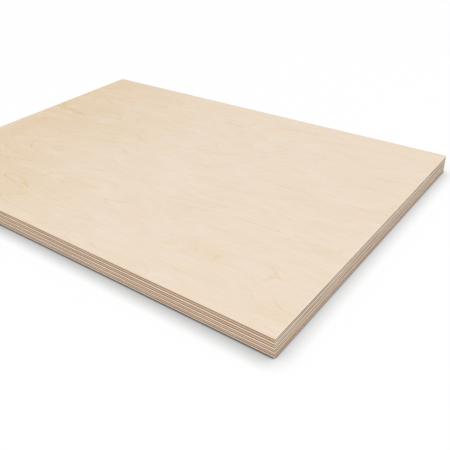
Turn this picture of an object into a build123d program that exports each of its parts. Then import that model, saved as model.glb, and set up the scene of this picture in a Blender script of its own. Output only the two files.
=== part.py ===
from build123d import *
import os

# A cut panel of nine-ply birch plywood, lying flat on its back veneer. All sizes are millimetres.
#
# X runs along the grain of the two face plies, which is the long way of the panel, Y runs across
# it, and Z goes up through the plies. The origin is the middle of the underside.
#
# Each ply is one whole rotary-cut veneer. The plies are pressed together with the grain of each at
# a right angle to the grain of the next, in an odd number, so that the lay-up is balanced about
# its centre ply. The panel was sawn to size after pressing, so all nine plies share one outline,
# and their edges are flush on all four sides.

# Size that the panel was sawn to
panel_length = 310.0
panel_width = 218.0

# Thickness of each ply in the finished panel, from the top down. The crossbands are peeled thicker
# than the long-grain plies, and sanding has taken more off the face than off the back. Together the
# nine make the 12 mm board.
face_veneer_thickness = 0.80
crossband_1_thickness = 2.05
long_ply_1_thickness = 1.00
crossband_2_thickness = 2.05
centre_ply_thickness = 0.90
crossband_3_thickness = 1.65
long_ply_2_thickness = 0.95
crossband_4_thickness = 1.45
back_veneer_thickness = 1.15

# How far a pass of sandpaper takes the sharp outer edges of the two faces back
arris_break = 0.20

# The lay-up in the order it is pressed, from the ply that lies on the floor to the one on top
layup = [
    ("back_veneer", back_veneer_thickness),
    ("crossband_4", crossband_4_thickness),
    ("long_ply_2", long_ply_2_thickness),
    ("crossband_3", crossband_3_thickness),
    ("centre_ply", centre_ply_thickness),
    ("crossband_2", crossband_2_thickness),
    ("long_ply_1", long_ply_1_thickness),
    ("crossband_1", crossband_1_thickness),
    ("face_veneer", face_veneer_thickness),
]


def pressed_ply(underside, thickness):
    """One veneer at the panel's sawn outline, lying on the ply whose top is at underside."""
    outline = Plane.XY.offset(underside) * Rectangle(panel_length, panel_width)
    return extrude(outline, thickness)


def lay_up():
    """Every ply by name, each resting face to face on the one below it."""
    plies = {}
    underside = 0
    for name, thickness in layup:
        plies[name] = pressed_ply(underside, thickness)
        underside += thickness
    return plies


def break_arrises(plies):
    """Sands back the sharp outline of the panel's two outer faces."""
    top = plies["face_veneer"].faces().sort_by(Axis.Z)[-1]
    bottom = plies["back_veneer"].faces().sort_by(Axis.Z)[0]
    plies["face_veneer"] = chamfer(top.edges(), arris_break)
    plies["back_veneer"] = chamfer(bottom.edges(), arris_break)


panel = lay_up()
break_arrises(panel)
os.makedirs("parts", exist_ok=True)
for name, ply in panel.items():
    export_step(ply, f"parts/{name}.step")
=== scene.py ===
import math

import bmesh
import bpy
from mathutils import Matrix, Vector, noise


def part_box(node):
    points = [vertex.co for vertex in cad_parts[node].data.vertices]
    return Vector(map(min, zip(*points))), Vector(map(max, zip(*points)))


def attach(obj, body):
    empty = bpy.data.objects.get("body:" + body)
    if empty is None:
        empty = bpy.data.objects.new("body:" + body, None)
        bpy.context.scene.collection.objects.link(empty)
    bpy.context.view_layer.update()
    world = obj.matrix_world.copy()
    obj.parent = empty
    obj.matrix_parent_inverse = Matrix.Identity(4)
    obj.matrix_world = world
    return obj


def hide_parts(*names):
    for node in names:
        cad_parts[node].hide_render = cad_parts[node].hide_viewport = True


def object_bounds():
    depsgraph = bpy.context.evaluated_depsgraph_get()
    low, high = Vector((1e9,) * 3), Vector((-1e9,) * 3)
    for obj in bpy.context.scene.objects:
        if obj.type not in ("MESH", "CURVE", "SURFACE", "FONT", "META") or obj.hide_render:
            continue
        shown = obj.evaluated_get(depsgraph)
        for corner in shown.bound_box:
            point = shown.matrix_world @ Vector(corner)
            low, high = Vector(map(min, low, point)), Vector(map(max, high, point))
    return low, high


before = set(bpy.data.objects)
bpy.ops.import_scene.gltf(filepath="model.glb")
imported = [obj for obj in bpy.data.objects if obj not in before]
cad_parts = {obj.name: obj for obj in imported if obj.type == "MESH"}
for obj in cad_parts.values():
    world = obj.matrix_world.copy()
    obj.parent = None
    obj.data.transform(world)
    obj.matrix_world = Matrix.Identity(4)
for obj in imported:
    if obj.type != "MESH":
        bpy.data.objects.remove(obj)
cad_low, cad_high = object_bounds()


# The back veneer, the first one laid in the press. It is a whole sheet of birch that a knife
# peeled from the turning log, glued hot under the stack, and sanded smooth on its outer face.
# The saw that cut the panel to size left its four edges square, and sandpaper broke the arris.

# Lengths are metres, and names that end in MM are millimetres. The mesh has coarse steps over
# the face, and fine ones along the edges that the saw tore.
FACE_STEP = 0.010
EDGE_STEP = 0.001
EDGE_ROWS = 3
X, Y, Z = range(3)


def looks_along(face, axis):
    """Whether a face looks along an axis, to within 60 degrees, up it or down it."""
    return abs(face.normal[axis]) > 0.5


def sawn_sheet(low, high):
    """A closed flat sheet that fills the box between two corners."""
    size = high - low
    bm = bmesh.new()
    cells = [round(length / FACE_STEP) for length in size.xy]
    bmesh.ops.create_grid(bm, x_segments=cells[X], y_segments=cells[Y], size=0.5)
    bmesh.ops.scale(bm, vec=(size.x, size.y, 1), verts=bm.verts)
    outline = [edge for edge in bm.edges if edge.is_boundary]
    bmesh.ops.subdivide_edges(bm, edges=outline, cuts=round(FACE_STEP / EDGE_STEP) - 1)
    bmesh.ops.translate(bm, vec=(0, 0, low.z), verts=bm.verts)

    # the sheet's thickness, in a few rows
    underside = set(bm.verts)
    bmesh.ops.extrude_face_region(bm, geom=bm.faces[:])
    upper = [vert for vert in bm.verts if vert not in underside]
    bmesh.ops.translate(bm, vec=(0, 0, size.z), verts=upper)
    risers = [edge for edge in bm.edges if len(underside.intersection(edge.verts)) == 1]
    bmesh.ops.subdivide_edges(bm, edges=risers, cuts=EDGE_ROWS - 1)
    bmesh.ops.recalc_face_normals(bm, faces=bm.faces)
    return bm


# One pass of sandpaper takes this much off the sharp outline of a sanded face.
ARRIS_BREAK = 0.00016
ARRIS_SEGMENTS = 2


def break_arris(bm, level):
    """Rounds the outline of the sheet's face at a level."""
    rim = [
        edge
        for edge in bm.edges
        if all(abs(vert.co.z - level) < ARRIS_BREAK / 2 for vert in edge.verts)
        and {looks_along(face, Z) for face in edge.link_faces} == {True, False}
    ]
    bmesh.ops.bevel(
        bm,
        geom=rim,
        offset=ARRIS_BREAK,
        segments=ARRIS_SEGMENTS,
        profile=0.5,
        affect="EDGES",
        material=-1,
    )


# The press leaves every joint a little wavy. LAYER_SPREAD draws the joints' heights apart in the
# noise that bends them, so that each waves in its own way.
PRESS_WAVE = 0.00005
PRESS_WAVE_LENGTH = 0.030
PRESS_RIPPLE = 0.00002
PRESS_RIPPLE_LENGTH = 0.005
LAYER_SPREAD = 9


def glue_line(level, x, y):
    """Height of the joint at a level. The panel's two outer faces are sanded flat."""
    if level in (cad_low.z, cad_high.z):
        return level
    place = Vector((x, y, LAYER_SPREAD * level))
    wave = noise.noise(place / PRESS_WAVE_LENGTH)
    ripple = noise.noise(place / PRESS_RIPPLE_LENGTH)
    return level + PRESS_WAVE * wave + PRESS_RIPPLE * ripple


# Saw teeth tear out patches of wood of this length. Every point of a veneer also keeps its
# distance to the joint below and the joint above, for the resin that soaks in there. The
# panel's outer faces have no joint, so their distance is too far for any resin.
TORN_LENGTH = 0.0025
JOINT_BELOW = "mm_to_joint_below"
JOINT_ABOVE = "mm_to_joint_above"
NO_JOINT_MM = 9.0
MM_IN_METRE = 1000


def press_and_saw(bm, low, high, outer, torn_depth):
    """Bends the sheet between its joints, and tears its edges up to torn_depth deep."""
    below = bm.verts.layers.float.new(JOINT_BELOW)
    above = bm.verts.layers.float.new(JOINT_ABOVE)
    for vert in bm.verts:
        under, over = (glue_line(level, vert.co.x, vert.co.y) for level in (low.z, high.z))
        share = (vert.co.z - low.z) / (high.z - low.z)
        vert.co.z = under + share * (over - under)
        vert[below] = NO_JOINT_MM if low.z == outer else MM_IN_METRE * (vert.co.z - under)
        vert[above] = NO_JOINT_MM if high.z == outer else MM_IN_METRE * (over - vert.co.z)
        for axis, reach in enumerate((high.x, high.y)):
            if abs(vert.co[axis]) > reach - ARRIS_BREAK / 2:
                tear = 0.5 + 0.5 * noise.noise(vert.co / TORN_LENGTH)
                vert.co[axis] -= math.copysign(torn_depth * tear, vert.co[axis])
    bm.normal_update()


# Where the parts of a veneer lie on its map, as shares of the map's height. A sanded face takes
# most of it, and two glued faces share a narrow band. The edges are long and thin, so each is
# cut into five lengths, laid one over another.
GLUED_FACES = (0.00, 0.06)
GLUED_FACE_WIDTH = 0.4
UPPER_FACE_SHIFT = 0.5
EDGE_STRIPS_UNDER_A_FACE = (0.08, 0.28)
EDGE_STRIPS_ALONE = (0.10, 1.00)
SANDED_FACE = (0.286, 1.00)
STRIPS_A_SIDE = 5
STRIP_FILL = 0.8


def is_sanded(face, outer):
    """Whether a face of the mesh is part of the veneer's outer side, if it has one."""
    return outer is not None and abs(face.calc_center_median().z - outer) < ARRIS_BREAK


def unwrap(bm, low, high, outer):
    """Lays the faces of a veneer out on the map that its finishes are baked through."""
    lay = bm.loops.layers.uv.new("OFBake")
    size = high - low
    strips = EDGE_STRIPS_ALONE if outer is None else EDGE_STRIPS_UNDER_A_FACE
    strip_height = (strips[1] - strips[0]) / (4 * STRIPS_A_SIDE)
    for face in bm.faces:
        middle = face.calc_center_median()
        if looks_along(face, Z):
            sanded = is_sanded(face, outer)
            lower = middle.z < (low.z + high.z) / 2
            bottom, top = SANDED_FACE if sanded else GLUED_FACES
            shift = 0.0 if sanded or lower else UPPER_FACE_SHIFT
            width = 1.0 if sanded else GLUED_FACE_WIDTH
            for loop in face.loops:
                u = (loop.vert.co.x - low.x) / size.x
                v = (loop.vert.co.y - low.y) / size.y
                loop[lay].uv = (shift + width * u, bottom + (top - bottom) * v)
        else:
            along = X if looks_along(face, Y) else Y
            side = 2 * along + (face.normal[1 - along] > 0)
            strip_length = size[along] / STRIPS_A_SIDE
            strip = min(int((middle[along] - low[along]) / strip_length), STRIPS_A_SIDE - 1)
            bottom = strips[0] + (side * STRIPS_A_SIDE + strip) * strip_height
            for loop in face.loops:
                u = (loop.vert.co[along] - low[along]) / strip_length - strip
                v = (loop.vert.co.z - low.z) / size.z
                loop[lay].uv = (u, bottom + STRIP_FILL * strip_height * v)


def pressed_veneer(node, finishes, torn_depth):
    """The veneer of a CAD node, pressed, sawn and sanded, as one closed mesh.

    Its finishes are for the outer face, the glued faces, the long edges and the end edges."""
    low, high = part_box(node)
    outer = next((level for level in (low.z, high.z) if level in (cad_low.z, cad_high.z)), None)
    bm = sawn_sheet(low, high)
    if outer is not None:
        break_arris(bm, outer)
    press_and_saw(bm, low, high, outer, torn_depth)
    unwrap(bm, low, high, outer)
    mesh = bpy.data.meshes.new(node)
    for finish in finishes:
        mesh.materials.append(finish)
    for face in bm.faces:
        if looks_along(face, Z):
            face.material_index = 0 if is_sanded(face, outer) else 1
        else:
            face.material_index = 2 if looks_along(face, Y) else 3
    bm.to_mesh(mesh)
    bm.free()
    veneer = bpy.data.objects.new(node + "_veneer", mesh)
    bpy.context.collection.objects.link(veneer)
    return veneer


def linear(code):
    """A colour written as sRGB hex, as the linear values that a shader takes."""
    values = [int(code[start : start + 2], 16) / 255 for start in (1, 3, 5)]
    opaque = 1
    return [
        value / 12.92 if value <= 0.04045 else ((value + 0.055) / 1.055) ** 2.4
        for value in values
    ] + [opaque]


def add(tree, kind, settings, inputs):
    """Adds a node, sets its properties, and fills its inputs, by name or else in their order.

    An input takes a value, a colour code, an output, or a node for that node's first output."""
    node = tree.nodes.new(kind)
    for name, value in settings.items():
        setattr(node, name, value)
    sockets = [socket for socket in node.inputs if socket.enabled]
    if isinstance(inputs, dict):
        named = {socket.name: socket for socket in sockets}
        filled = [(named[name], value) for name, value in inputs.items()]
    else:
        filled = zip(sockets, inputs)
    for socket, value in filled:
        if isinstance(value, bpy.types.Node):
            value = next(output for output in value.outputs if output.enabled)
        if isinstance(value, bpy.types.NodeSocket):
            tree.links.new(value, socket)
        else:
            socket.default_value = linear(value) if isinstance(value, str) else value
    return node


def grain(tree, place, sizes, seed, detail=2.0, roughness=0.5):
    """An uneven pattern whose patches have the given sizes in metres along X, Y and Z."""
    scale = [1 / length for length in sizes]
    shift = (seed, -seed, seed)
    spread = {"Vector": place, "Scale": scale, "Location": shift}
    field = {
        "Vector": add(tree, "ShaderNodeMapping", {}, spread),
        "Scale": 1.0,
        "Detail": detail,
        "Roughness": roughness,
    }
    return add(tree, "ShaderNodeTexNoise", {}, field)


def weighed_sum(tree, parts):
    """The sum of several patterns, each taken with its own weight."""
    total = 0.0
    for part, weight in parts:
        total = add(tree, "ShaderNodeMath", {"operation": "MULTIPLY_ADD"}, [part, weight, total])
    return total


# What the nodes below do: TIMES takes a share of a share, SMOOTH goes softly from 0 at one value
# of a pattern to full at another, and PAINT lays a tint over a colour by such a share.
TIMES = {"operation": "MULTIPLY"}
SMOOTH = {"interpolation_type": "SMOOTHSTEP"}
PAINT = {"data_type": "RGBA"}
WOOD_IOR = 1.45


def bare_wood(name):
    """A new material, its empty node tree, and the place on the piece that patterns start from."""
    material = bpy.data.materials.new(name)
    material.use_nodes = True
    tree = material.node_tree
    tree.nodes.clear()
    place = add(tree, "ShaderNodeTexCoord", {}, {}).outputs["Object"]
    return material, tree, place


def finish_wood(tree, colour, relief, depth, roughness):
    """Bare wood of a colour, whose fibres stand out by depth in metres."""
    bump = add(tree, "ShaderNodeBump", {}, {"Height": relief, "Distance": depth, "Strength": 1.0})
    look = {"Base Color": colour, "Normal": bump, "Roughness": roughness, "IOR": WOOD_IOR}
    wood = add(tree, "ShaderNodeBsdfPrincipled", {}, look)
    add(tree, "ShaderNodeOutputMaterial", {}, {"Surface": wood})


# Sanded birch: rotary cut, bare, and matte from fine sandpaper. It is creamy and nearly even.
# The knife follows the growth rings so closely that they show only as faint golden wisps, in
# broken arcs and pointed flames along the grain, among pale and tan clouds, with fibres over
# all of it. Sizes are along, across and through the sheet. Rings first: level lines of a slow
# swell with creases, tapered along the sheet, jagged, and feathered by the fibres.
GRAIN_SWAY = (0.110, 0.050, 0.050)
SWAY_DEPTH = 0.014
RING_SWELL = (0.130, 0.030, 0.030)
SWELL_SHARE = 0.8
RING_RIDGE = (0.110, 0.025, 0.025)
RIDGE_SHARE = 1.9
TAPER_PER_METRE = 4.6
RING_JAG = (0.020, 0.0045, 0.0045)
JAG_SHARE = 0.12
FEATHER_SHARE = 0.05
RING_COUNT = 5.0

# A ring runs from 0 to 1: the wood darkens slowly, ends in a thin line, and starts anew.
LINE_RISE = (0.86, 0.95)
LINE_FALL = (1.0, 0.97)
LATE_WOOD_RISE = (0.25, 0.92)
LATE_WOOD_FALL = (1.0, 0.94)
LATE_WOOD_STRENGTH = 0.05

# The thin line shows only in patches, as wisps, more and stronger at the sheet's warm end.
WISP_PATCH = (0.045, 0.012, 0.012)
WISP_ENDS = (0.42, 0.66)
WISP_STRENGTH = 0.60
WISPS_TO_WARM_END = 0.12
WISP_ON_WARM = 0.45
WISP_EVERYWHERE = 0.6

# The warm end is toward -X, with an uneven border.
BROAD_PATCH = (0.18, 0.09, 0.09)
WARM_WANDER = 0.12
WARM_END = (0.08, -0.09)

# Clouds, streaks and fibres, each with the ends of its soft edge and its strength. Birch fibres
# are about 1 mm long and 0.02 mm thick, which no render shows, so these are whole bundles of
# them, drawn as coarse as it takes to show.
TAN_CLOUD = (0.040, 0.016, 0.016)
TAN_ENDS = (0.45, 0.72)
TAN_STRENGTH = 0.26
PALE_CLOUD = (0.034, 0.015, 0.015)
CLOUD_ENDS = (0.46, 0.72)
CLOUD_STRENGTH = 0.36
PALE_STREAK = (0.034, 0.0024, 0.0024)
STREAK_ENDS = (0.48, 0.74)
STREAK_STRENGTH = 0.30
DUSKY_FIBRE = (0.011, 0.0013, 0.0013)
DUSK_ENDS = (0.42, 0.74)
DUSK_STRENGTH = 0.20
FIBRE = (0.016, 0.0009, 0.0009)
FIBRE_ENDS = (0.42, 0.75)
FIBRE_STRENGTH = 0.12
FINE_FIBRE = (0.007, 0.0004, 0.0004)
SANDED_DEPTH = 0.00002
SANDED_ROUGHNESS = 0.6


def sanded_birch(name, cream, pale, golden, warm, dusky, seed):
    """The sanded outer face of a birch veneer."""
    material, tree, place = bare_wood(name)

    # the grain sways a little from side to side
    axes = add(tree, "ShaderNodeSeparateXYZ", {}, [place])
    along = axes.outputs["X"]
    sway = grain(tree, place, GRAIN_SWAY, seed, detail=1.0)
    across = weighed_sum(tree, ((sway, SWAY_DEPTH), (axes.outputs["Y"], 1.0)))
    place = add(tree, "ShaderNodeCombineXYZ", {}, [along, across, axes.outputs["Z"]])
    fibre = grain(tree, place, FIBRE, seed + 1, detail=4.0, roughness=0.6)
    fine = grain(tree, place, FINE_FIBRE, seed + 2)

    # growth rings, with a thin line at the end of each
    swell = grain(tree, place, RING_SWELL, seed + 3, detail=1.0, roughness=0.4)
    crease = grain(tree, place, RING_RIDGE, seed + 4, detail=1.0, roughness=0.4)
    slope = add(tree, "ShaderNodeMath", {"operation": "SUBTRACT"}, [crease, 0.5])
    ridge = add(tree, "ShaderNodeMath", {"operation": "ABSOLUTE"}, [slope])
    jag = grain(tree, place, RING_JAG, seed + 5, detail=4.0, roughness=0.6)
    parts = (
        (swell, SWELL_SHARE),
        (ridge, RIDGE_SHARE),
        (along, TAPER_PER_METRE),
        (jag, JAG_SHARE),
        (fibre, FEATHER_SHARE),
    )
    level = add(tree, "ShaderNodeMath", TIMES, [weighed_sum(tree, parts), RING_COUNT])
    ring = add(tree, "ShaderNodeMath", {"operation": "FRACT"}, [level])
    rise = add(tree, "ShaderNodeMapRange", SMOOTH, [ring, *LINE_RISE])
    fall = add(tree, "ShaderNodeMapRange", SMOOTH, [ring, *LINE_FALL])
    line = add(tree, "ShaderNodeMath", TIMES, [rise, fall])
    rise = add(tree, "ShaderNodeMapRange", SMOOTH, [ring, *LATE_WOOD_RISE])
    fall = add(tree, "ShaderNodeMapRange", SMOOTH, [ring, *LATE_WOOD_FALL])
    shade = add(tree, "ShaderNodeMath", TIMES, [rise, fall])
    late_wood = add(tree, "ShaderNodeMath", TIMES, [shade, LATE_WOOD_STRENGTH])

    # the warm end, and the wisps
    broad = grain(tree, place, BROAD_PATCH, seed + 7)
    drift = weighed_sum(tree, ((broad, WARM_WANDER), (along, 1.0)))
    warmth = add(tree, "ShaderNodeMapRange", SMOOTH, [drift, *WARM_END])
    patch = grain(tree, place, WISP_PATCH, seed + 6, detail=5.0, roughness=0.65)
    gate = weighed_sum(tree, ((patch, 1.0), (warmth, WISPS_TO_WARM_END)))
    gate = add(tree, "ShaderNodeMapRange", SMOOTH, [gate, *WISP_ENDS, 0.0, WISP_STRENGTH])
    wisp = add(tree, "ShaderNodeMath", TIMES, [line, gate])
    more = weighed_sum(tree, ((warmth, WISP_ON_WARM), (1.0, WISP_EVERYWHERE)))
    wisp = add(tree, "ShaderNodeMath", TIMES, [wisp, more])

    # the colours, from the ground up
    colour = add(tree, "ShaderNodeMix", PAINT, [warmth, cream, warm])
    layers = (
        (TAN_CLOUD, TAN_ENDS, TAN_STRENGTH, warm),
        (PALE_CLOUD, CLOUD_ENDS, CLOUD_STRENGTH, pale),
        (PALE_STREAK, STREAK_ENDS, STREAK_STRENGTH, pale),
        (DUSKY_FIBRE, DUSK_ENDS, DUSK_STRENGTH, dusky),
    )
    for turn, (sizes, ends, strength, tint) in enumerate(layers, start=8):
        pattern = grain(tree, place, sizes, seed + turn, detail=5.0, roughness=0.6)
        share = add(tree, "ShaderNodeMapRange", SMOOTH, [pattern, *ends, 0.0, strength])
        colour = add(tree, "ShaderNodeMix", PAINT, [share, colour, tint])
    bundles = add(tree, "ShaderNodeMapRange", SMOOTH, [fibre, *FIBRE_ENDS, 0.0, FIBRE_STRENGTH])
    for share in (bundles, late_wood, wisp):
        colour = add(tree, "ShaderNodeMix", PAINT, [share, colour, golden])
    finish_wood(tree, colour, fine, SANDED_DEPTH, SANDED_ROUGHNESS)
    return material


# Lathe checks: hair-fine slanting cracks that the peeling knife leaves about a millimetre apart
# in a veneer. They are drawn a few tenths of a millimetre wide, so that they show.
CHECK_SPACING = 0.0009
CHECK_LEAN = 1.2
CHECK_SIDES = (0.18, 0.04)
CHECK_PATCH = (0.012, 0.012, 0.003)
CHECK_PATCH_ENDS = (0.35, 0.65)
CHECK_STRENGTH = 0.6


def lathe_checks(tree, place, colour, brown, seed):
    """The cracks of a veneer, seen on its end grain, over the colour of its wood."""
    axes = add(tree, "ShaderNodeSeparateXYZ", {}, [place])
    slopes = (1.0, 1.0, -CHECK_LEAN)
    slant = weighed_sum(tree, zip(axes.outputs, slopes))
    turns = add(tree, "ShaderNodeMath", TIMES, [slant, 1 / CHECK_SPACING])
    row = {"voronoi_dimensions": "1D", "feature": "F1"}
    cracks = add(tree, "ShaderNodeTexVoronoi", row, {"W": turns, "Scale": 1.0, "Randomness": 1.0})
    patch = grain(tree, place, CHECK_PATCH, seed + 3)
    shown = add(
        tree, "ShaderNodeMapRange", SMOOTH, [patch, *CHECK_PATCH_ENDS, 0.0, CHECK_STRENGTH]
    )
    crack = add(tree, "ShaderNodeMapRange", SMOOTH, [cracks, *CHECK_SIDES])
    share = add(tree, "ShaderNodeMath", TIMES, [crack, shown])
    return add(tree, "ShaderNodeMix", PAINT, [share, colour, brown])


# Sawn birch: the bare edge of a veneer as the saw left it, duller and rougher than the face.
# Where the saw ran along the fibres they show as long streaks, and where it cut across them as
# dots of open pores. Both are far finer in the real wood, where a pore is 0.1 mm wide, and are
# drawn as coarse as it takes to show. Broad patches vary the tone along the edge.
EDGE_PATCH = (0.022, 0.022, 0.0015)
EDGE_PATCH_ENDS = (0.3, 0.7)
SIDE_FIBRE = (0.060, 0.060, 0.0008)
FIBRE_SHARE = 0.55
END_PORE = (0.0005, 0.0005, 0.0003)
PORE_SHARE = 0.30
FLECK_ENDS = (0.40, 0.60)
SAWN_DEPTH = 0.00005
SAWN_ROUGHNESS = 0.7

# Phenolic resin in the joints: a thin brown film, which also soaks into the wood next to it.
RESIN_PATCH = (0.012, 0.012, 0.0008)
RESIN_SPREAD_MM = 0.05
FILM_MM = 0.12
RESIN_BROWN = "#653302"


def sawn_birch(name, wood, dark, checks, seed, soaked_mm):
    """A veneer's sawn edge, brown with resin as far as soaked_mm from its joints.

    End grain has lathe checks, in the colour that checks gives, and side grain has none."""
    material, tree, place = bare_wood(name)
    if checks:
        texture = grain(tree, place, END_PORE, seed + 1)
        part = PORE_SHARE
    else:
        texture = grain(tree, place, SIDE_FIBRE, seed + 1, detail=1.0)
        part = FIBRE_SHARE
    broad = grain(tree, place, EDGE_PATCH, seed)
    patch = add(tree, "ShaderNodeMapRange", SMOOTH, [broad, *EDGE_PATCH_ENDS])
    fleck = add(tree, "ShaderNodeMapRange", SMOOTH, [texture, *FLECK_ENDS])
    share = weighed_sum(tree, ((patch, 1 - part), (fleck, part)))
    colour = add(tree, "ShaderNodeMix", PAINT, [share, wood, dark])
    if checks:
        colour = lathe_checks(tree, place, colour, checks, seed)

    # the resin, by the distance to the nearer joint
    joints = [
        add(tree, "ShaderNodeAttribute", {"attribute_name": joint}, {}).outputs["Fac"]
        for joint in (JOINT_BELOW, JOINT_ABOVE)
    ]
    nearest = add(tree, "ShaderNodeMath", {"operation": "MINIMUM"}, joints)
    uneven = grain(tree, place, RESIN_PATCH, seed + 2)
    depth = weighed_sum(tree, ((uneven, RESIN_SPREAD_MM), (nearest, 1.0)))
    film = add(tree, "ShaderNodeMapRange", SMOOTH, [depth, soaked_mm, 0.0])
    colour = add(tree, "ShaderNodeMix", PAINT, [film, colour, RESIN_BROWN])
    finish_wood(tree, colour, texture, SAWN_DEPTH, SAWN_ROUGHNESS)
    return material


# Resin-stained birch: the hidden faces of a veneer, brown and dull from the resin that the
# press drove into them, with paler fibres.
RESIN_FACE = "#8A6242"
RESIN_FACE_PALE = "#A98462"
STAIN_ENDS = (0.3, 0.7)


def glued_birch(name, seed):
    """The glued face of a veneer."""
    material, tree, place = bare_wood(name)
    fibre = grain(tree, place, FIBRE, seed, detail=3.0)
    share = add(tree, "ShaderNodeMapRange", SMOOTH, [fibre, *STAIN_ENDS])
    colour = add(tree, "ShaderNodeMix", PAINT, [share, RESIN_FACE, RESIN_FACE_PALE])
    finish_wood(tree, colour, fibre, SANDED_DEPTH, SAWN_ROUGHNESS)
    return material


SANDED_PLY_TORN = 0.00001
glued_face = glued_birch("resin-stained birch", seed=71)
back_face = sanded_birch(
    "sanded birch back",
    cream="#EDD9C2",
    pale="#EFE0CE",
    golden="#DEBB80",
    warm="#E9D4B5",
    dusky="#CDB698",
    seed=31,
)
back_long_edge = sawn_birch(
    "sawn birch, back veneer side",
    wood="#E8D4BE",
    dark="#D6BEA4",
    checks=None,
    seed=21,
    soaked_mm=FILM_MM,
)
back_end_edge = sawn_birch(
    "sawn birch, back veneer end",
    wood="#D6BDA4",
    dark="#C4A88D",
    checks="#C4A88D",
    seed=22,
    soaked_mm=FILM_MM,
)
back_finishes = (back_face, glued_face, back_long_edge, back_end_edge)
back_veneer = pressed_veneer("back_veneer", back_finishes, SANDED_PLY_TORN)
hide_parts("back_veneer")
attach(back_veneer, "root")


# The four crossbands: thicker veneers laid with their grain across the panel, peeled from
# browner wood. The saw cut them across their fibres on the long edges and along them on the
# ends, and they stand back a little from the pale plies.

# Wood and dark flecks on the long edges, then on the ends. The open wood of a crossband soaks
# resin up, more where it is cut across.
CROSSBANDS = {
    "crossband_4": ("#EFDAC4", "#E0C6AF", "#D7C1AA", "#C7AE95"),
    "crossband_3": ("#E3CFBB", "#D3BCA7", "#DAC9B4", "#A8947C"),
    "crossband_2": ("#D5BDA6", "#C4A992", "#E0CFBB", "#AA9781"),
    "crossband_1": ("#D7BFA8", "#C4AA91", "#DDCCB9", "#A99581"),
}
CROSSBAND_TORN = 0.00006
CHECK_BROWN = "#987A61"
SOAKED_END_GRAIN_MM = 0.82
SOAKED_SIDE_GRAIN_MM = 0.70
for turn, (name, (side, side_dark, end, end_dark)) in enumerate(CROSSBANDS.items()):
    long_edge = sawn_birch(
        f"sawn birch, {name} end grain",
        wood=side,
        dark=side_dark,
        checks=CHECK_BROWN,
        seed=3 * turn,
        soaked_mm=SOAKED_END_GRAIN_MM,
    )
    end_edge = sawn_birch(
        f"sawn birch, {name} side grain",
        wood=end,
        dark=end_dark,
        checks=None,
        seed=80 + turn,
        soaked_mm=SOAKED_SIDE_GRAIN_MM,
    )
    crossband = pressed_veneer(name, (glued_face, glued_face, long_edge, end_edge), CROSSBAND_TORN)
    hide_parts(name)
    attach(crossband, "root")


# The three long-grain plies between the crossbands, of pale wood, with their grain along the
# panel as on the two faces. They are thinner than the crossbands and show as cream lines.

# Wood and dark flecks on the long edges, then on the ends.
LONG_PLIES = {
    "long_ply_2": ("#F5DEC4", "#E7CDB0", "#E9D6BE", "#DAC5AD"),
    "centre_ply": ("#FAE4CA", "#EED6BA", "#EEDDC7", "#DDCAB3"),
    "long_ply_1": ("#F7E1C7", "#E9D1B4", "#F4E4CF", "#E1CFB9"),
}
LONG_PLY_TORN = 0.00002
for turn, (name, (side, side_dark, end, end_dark)) in enumerate(LONG_PLIES.items()):
    long_edge = sawn_birch(
        f"sawn birch, {name} side grain",
        wood=side,
        dark=side_dark,
        checks=None,
        seed=40 + 3 * turn,
        soaked_mm=FILM_MM,
    )
    end_edge = sawn_birch(
        f"sawn birch, {name} end grain",
        wood=end,
        dark=end_dark,
        checks=end_dark,
        seed=41 + 3 * turn,
        soaked_mm=FILM_MM,
    )
    long_ply = pressed_veneer(name, (glued_face, glued_face, long_edge, end_edge), LONG_PLY_TORN)
    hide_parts(name)
    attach(long_ply, "root")


# The face veneer, the last one laid and the thinnest after sanding. It is the pick of the
# peeled birch, clear and creamy, with its grain along the panel.

face_top = sanded_birch(
    "sanded birch face",
    cream="#F0DEC9",
    pale="#F2E7DA",
    golden="#E4C081",
    warm="#E9D2B3",
    dusky="#DAC8B5",
    seed=11,
)
face_long_edge = sawn_birch(
    "sawn birch, face veneer side",
    wood="#F4DFC8",
    dark="#EDD5B9",
    checks=None,
    seed=61,
    soaked_mm=FILM_MM,
)
# The face veneer's end is painted paler than its own wood, as a painted highlight along the top
# arris and to lift it out of the shade on that side.
face_end_grain_and_highlight = sawn_birch(
    "sawn birch, face veneer end with painted highlight",
    wood="#FFF0DD",
    dark="#FCE8D3",
    checks="#FCE8D3",
    seed=62,
    soaked_mm=FILM_MM,
)
face_finishes = (face_top, glued_face, face_long_edge, face_end_grain_and_highlight)
face_veneer = pressed_veneer("face_veneer", face_finishes, SANDED_PLY_TORN)
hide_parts("face_veneer")
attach(face_veneer, "root")


# The studio: a white floor that takes the sheet's soft shadow, white surroundings, one large
# square softbox, and the camera, which looks down on the near corner.

# The sheet rests on its high spots, so the floor lies a tenth of a millimetre lower.
FLOOR_REACH = 6.0
FLOOR_DROP = 0.0001
floor_mesh = bpy.data.meshes.new("floor")
bm = bmesh.new()
bmesh.ops.create_grid(bm, x_segments=1, y_segments=1, size=FLOOR_REACH)
bmesh.ops.translate(bm, vec=(0, 0, -FLOOR_DROP), verts=bm.verts)
bm.to_mesh(floor_mesh)
bm.free()
floor = bpy.data.objects.new("floor", floor_mesh)
bpy.context.collection.objects.link(floor)


def seen_directly(tree):
    """1 for what is seen straight, in a mirror or through glass, and 0 for light that bounces."""
    path = add(tree, "ShaderNodeLightPath", {}, {})
    seen = path.outputs["Is Camera Ray"]
    for ray in ("Is Glossy Ray", "Is Transmission Ray"):
        seen = add(tree, "ShaderNodeMath", {"operation": "MAXIMUM"}, [seen, path.outputs[ray]])
    return seen
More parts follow.
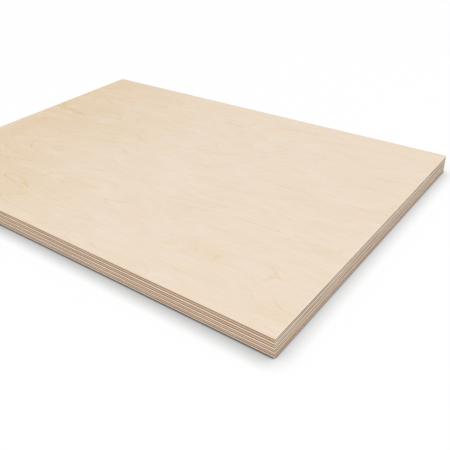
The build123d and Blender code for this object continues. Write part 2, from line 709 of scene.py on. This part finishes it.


# Matt white paper. What is seen of it is mostly plain white, so that it looks white with no more
# light on the sheet. Out to SHADOW_REACH a painted shadow darkens its colour, by how much of the
# sky the sheet hides there, as soft light that comes from where SHADOW_LEAN points would shade it.
# A deeper painted shade lies in the crack at the sheet's foot, both in the paper that is seen and
# in the light that it bounces.
WHITE = "#FFFFFF"
PAPER_SHARE = 0.9
FLOOR_BOUNCE = "#F2F2F2"
SHADOW_GREY = "#656563"
SHADOW_REACH = 0.0106
SHADOW_LEAN = (0.125, 0.222, 0.967)
CONTACT_DARK = "#454B50"
CONTACT_REACH = 0.0015
CONTACT_LEAN = (0.40, 0.0, 0.917)
CONTACT_OPEN = (0.605, 0.98)
PROBES = {"samples": 16}
floor_paint = bpy.data.materials.new("white studio floor")
floor_paint.use_nodes = True
tree = floor_paint.node_tree
tree.nodes.clear()
seen = seen_directly(tree)
lean = add(tree, "ShaderNodeCombineXYZ", {}, SHADOW_LEAN)
near = {"Distance": SHADOW_REACH, "Normal": lean}
open_sky = add(tree, "ShaderNodeAmbientOcclusion", PROBES, near).outputs["AO"]
lean = add(tree, "ShaderNodeCombineXYZ", {}, CONTACT_LEAN)
near = {"Distance": CONTACT_REACH, "Normal": lean}
crack = add(tree, "ShaderNodeAmbientOcclusion", PROBES, near).outputs["AO"]
contact = add(tree, "ShaderNodeMapRange", {}, [crack, *CONTACT_OPEN])
tone = add(tree, "ShaderNodeMix", PAINT, [open_sky, SHADOW_GREY, WHITE])
shadow = add(tree, "ShaderNodeMix", PAINT, [contact, CONTACT_DARK, tone])
bounce = add(tree, "ShaderNodeMix", PAINT, [contact, CONTACT_DARK, FLOOR_BOUNCE])
shade = add(tree, "ShaderNodeMix", PAINT, [seen, bounce, shadow])
matt = add(tree, "ShaderNodeBsdfDiffuse", {}, {"Color": shade})
paper = add(tree, "ShaderNodeEmission", {}, {"Color": shadow, "Strength": 1.0})
share = add(tree, "ShaderNodeMath", TIMES, [seen, PAPER_SHARE])
surface = add(tree, "ShaderNodeMixShader", {}, [share, matt, paper])
add(tree, "ShaderNodeOutputMaterial", {}, {"Surface": surface})
floor_mesh.materials.append(floor_paint)

# The surroundings are plain white to look at, and light the sheet a little less than that.
SKY_LIGHT = 0.87
world = bpy.data.worlds.new("studio")
bpy.context.scene.world = world
world.use_nodes = True
tree = world.node_tree
tree.nodes.clear()
strength = add(
    tree, "ShaderNodeMix", {"data_type": "FLOAT"}, [seen_directly(tree), SKY_LIGHT, 1.0]
)
sky = add(tree, "ShaderNodeBackground", {}, {"Color": WHITE, "Strength": strength})
add(tree, "ShaderNodeOutputWorld", {}, {"Surface": sky})

# The softbox stands high behind the camera, a little to its right, and points at the sheet.
LAMP_PLACE = (0.80, -0.62, 0.95)
LAMP_SIDE = 0.9
LAMP_WATTS = 3.2
lamp_data = bpy.data.lights.new("softbox", "AREA")
lamp_data.size = LAMP_SIDE
lamp_data.energy = LAMP_WATTS
lamp = bpy.data.objects.new("softbox", lamp_data)
lamp.location = LAMP_PLACE
lamp.rotation_euler = (-Vector(LAMP_PLACE)).to_track_quat("-Z", "Y").to_euler()
bpy.context.collection.objects.link(lamp)

CAMERA_PLACE = (0.25518, -0.27223, 0.19179)
CAMERA_TURN = math.radians(37.558)
CAMERA_TILT = math.radians(57.715)
CAMERA_ROLL = math.radians(-2.028)
CAMERA_LENS = 47.15
CAMERA_NEAR = 0.01
camera_data = bpy.data.cameras.new("camera")
camera_data.lens = CAMERA_LENS
camera_data.clip_start = CAMERA_NEAR
camera = bpy.data.objects.new("camera", camera_data)
turn = Matrix.Rotation(CAMERA_TURN, 3, "Z")
tilt = Matrix.Rotation(CAMERA_TILT, 3, "X")
roll = Matrix.Rotation(CAMERA_ROLL, 3, "Z")
camera.location = CAMERA_PLACE
camera.rotation_euler = (turn @ tilt @ roll).to_euler()
bpy.context.collection.objects.link(camera)
bpy.context.scene.camera = camera
bpy.context.scene.view_settings.view_transform = "Standard"
